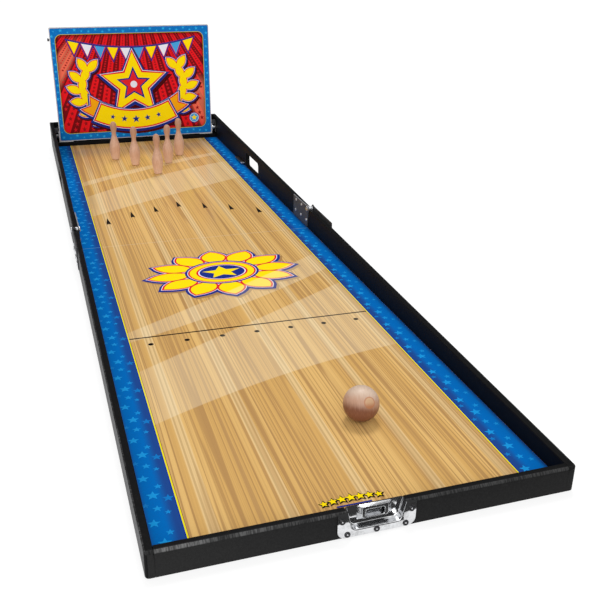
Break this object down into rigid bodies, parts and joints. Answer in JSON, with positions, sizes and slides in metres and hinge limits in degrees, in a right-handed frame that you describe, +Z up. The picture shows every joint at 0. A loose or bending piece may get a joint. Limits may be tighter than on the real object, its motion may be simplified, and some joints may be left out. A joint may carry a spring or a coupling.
{
  "type": "carnival bowling game",
  "caption": "Folding tabletop bowling lane in a black hinged case, with a fold-down sign board, wooden pins, a ball and a recessed case latch.",
  "frame": {"origin": "on the ground under the middle of the fold line, at the bottom centre of the opened case", "axes": "+Z up, +Y down the lane from the player to the pins, +X to the player's right"},
  "size_m": [0.62, 2.3444, 0.417],
  "materials": {
    "case_black": "satin black paint",
    "lane_print": "printed maple planks under clear film",
    "sign_board": "white foam board edge",
    "sign_print": "glossy print",
    "dark_steel": "dark plated sheet",
    "zinc_steel": "bright zinc",
    "chrome": "chrome plate",
    "pale_wood": "sanded, unfinished"
  },
  "bodies": {
    "far_half": {"far_wall_left": "case_black", "far_wall_right": "case_black", "back_wall": "case_black", "far_floor": "case_black", "far_lane_panel": "lane_print", "end_batten": "case_black", "hinge_inner_plate_left": "dark_steel", "hinge_inner_plate_right": "dark_steel", "hinge_pin_left": "zinc_steel", "hinge_pin_right": "zinc_steel", "hinge_sleeve_left": "zinc_steel", "hinge_sleeve_right": "zinc_steel", "sign_bracket_left": "dark_steel", "sign_bracket_right": "dark_steel", "sign_pivot_left": "zinc_steel", "sign_pivot_right": "zinc_steel", "sign_ledge": "dark_steel", "latch_tray": "chrome"},
    "near_half": {"near_wall_left": "case_black", "near_wall_right": "case_black", "front_wall": "case_black", "near_floor": "case_black", "near_lane_panel": "lane_print", "hinge_outer_plate_left": "dark_steel", "hinge_outer_plate_right": "dark_steel", "keeper_tray": "chrome", "keeper_catch": "chrome"},
    "sign": {"sign_board": "sign_board", "sign_print_sheet": "sign_print", "sign_shoe_left": "zinc_steel", "sign_shoe_right": "zinc_steel", "sign_knob": "dark_steel"},
    "latch_handle": {"latch_spindle": "zinc_steel", "latch_wing": "chrome"},
    "hook": {"latch_hook": "zinc_steel"},
    "front_pin": {"pin_front": "pale_wood"},
    "middle_left_pin": {"pin_middle_left": "pale_wood"},
    "middle_right_pin": {"pin_middle_right": "pale_wood"},
    "back_left_pin": {"pin_back_left": "pale_wood"},
    "back_right_pin": {"pin_back_right": "pale_wood"},
    "rolling_ball": {"ball": "pale_wood"}
  },
  "joints": [
    {"name": "case_fold", "type": "hinge", "parent": "far_half", "child": "near_half", "pos_m": [0, 0, 0.0635], "axis": [-1, 0, 0], "range_deg": [0, 180]},
    {"name": "sign_fold", "type": "hinge", "parent": "far_half", "child": "sign", "pos_m": [0, 1.1086, 0.046], "axis": [1, 0, 0], "range_deg": [0, 94.2]},
    {"name": "wing_turn", "type": "hinge", "parent": "far_half", "child": "latch_handle", "pos_m": [0, 1.1577, 0.056], "axis": [0, 1, 0], "range_deg": [0, 180]},
    {"name": "hook_rock", "type": "hinge", "parent": "far_half", "child": "hook", "pos_m": [0, 1.1649, 0.056], "axis": [1, 0, 0], "range_deg": [0, 9]},
    {"name": "front_pin_lift", "type": "slide", "parent": "far_half", "child": "front_pin", "axis": [0.8, 0, 0.6], "range_m": [0, 0.95]},
    {"name": "middle_left_pin_lift", "type": "slide", "parent": "far_half", "child": "middle_left_pin", "axis": [-0.8, 0, 0.6], "range_m": [0, 0.95]},
    {"name": "middle_right_pin_lift", "type": "slide", "parent": "far_half", "child": "middle_right_pin", "axis": [0.8, 0, 0.6], "range_m": [0, 0.95]},
    {"name": "back_left_pin_lift", "type": "slide", "parent": "far_half", "child": "back_left_pin", "axis": [-0.8, 0, 0.6], "range_m": [0, 0.95]},
    {"name": "back_right_pin_lift", "type": "slide", "parent": "far_half", "child": "back_right_pin", "axis": [0.8, 0, 0.6], "range_m": [0, 0.95]},
    {"name": "ball_roll", "type": "slide", "parent": "near_half", "child": "rolling_ball", "axis": [0, 1, 0], "range_m": [-0.15, 0.83]}
  ],
  "couplings": [
    {"joint": "sign_fold", "follows": "case_fold", "ratio": 0.5225},
    {"joint": "hook_rock", "follows": "wing_turn", "ratio": 0.05},
    {"joint": "front_pin_lift", "follows": "case_fold", "m_per_rad": 0.3},
    {"joint": "middle_left_pin_lift", "follows": "case_fold", "m_per_rad": 0.3},
    {"joint": "middle_right_pin_lift", "follows": "case_fold", "m_per_rad": 0.3},
    {"joint": "back_left_pin_lift", "follows": "case_fold", "m_per_rad": 0.3},
    {"joint": "back_right_pin_lift", "follows": "case_fold", "m_per_rad": 0.3}
  ]
}
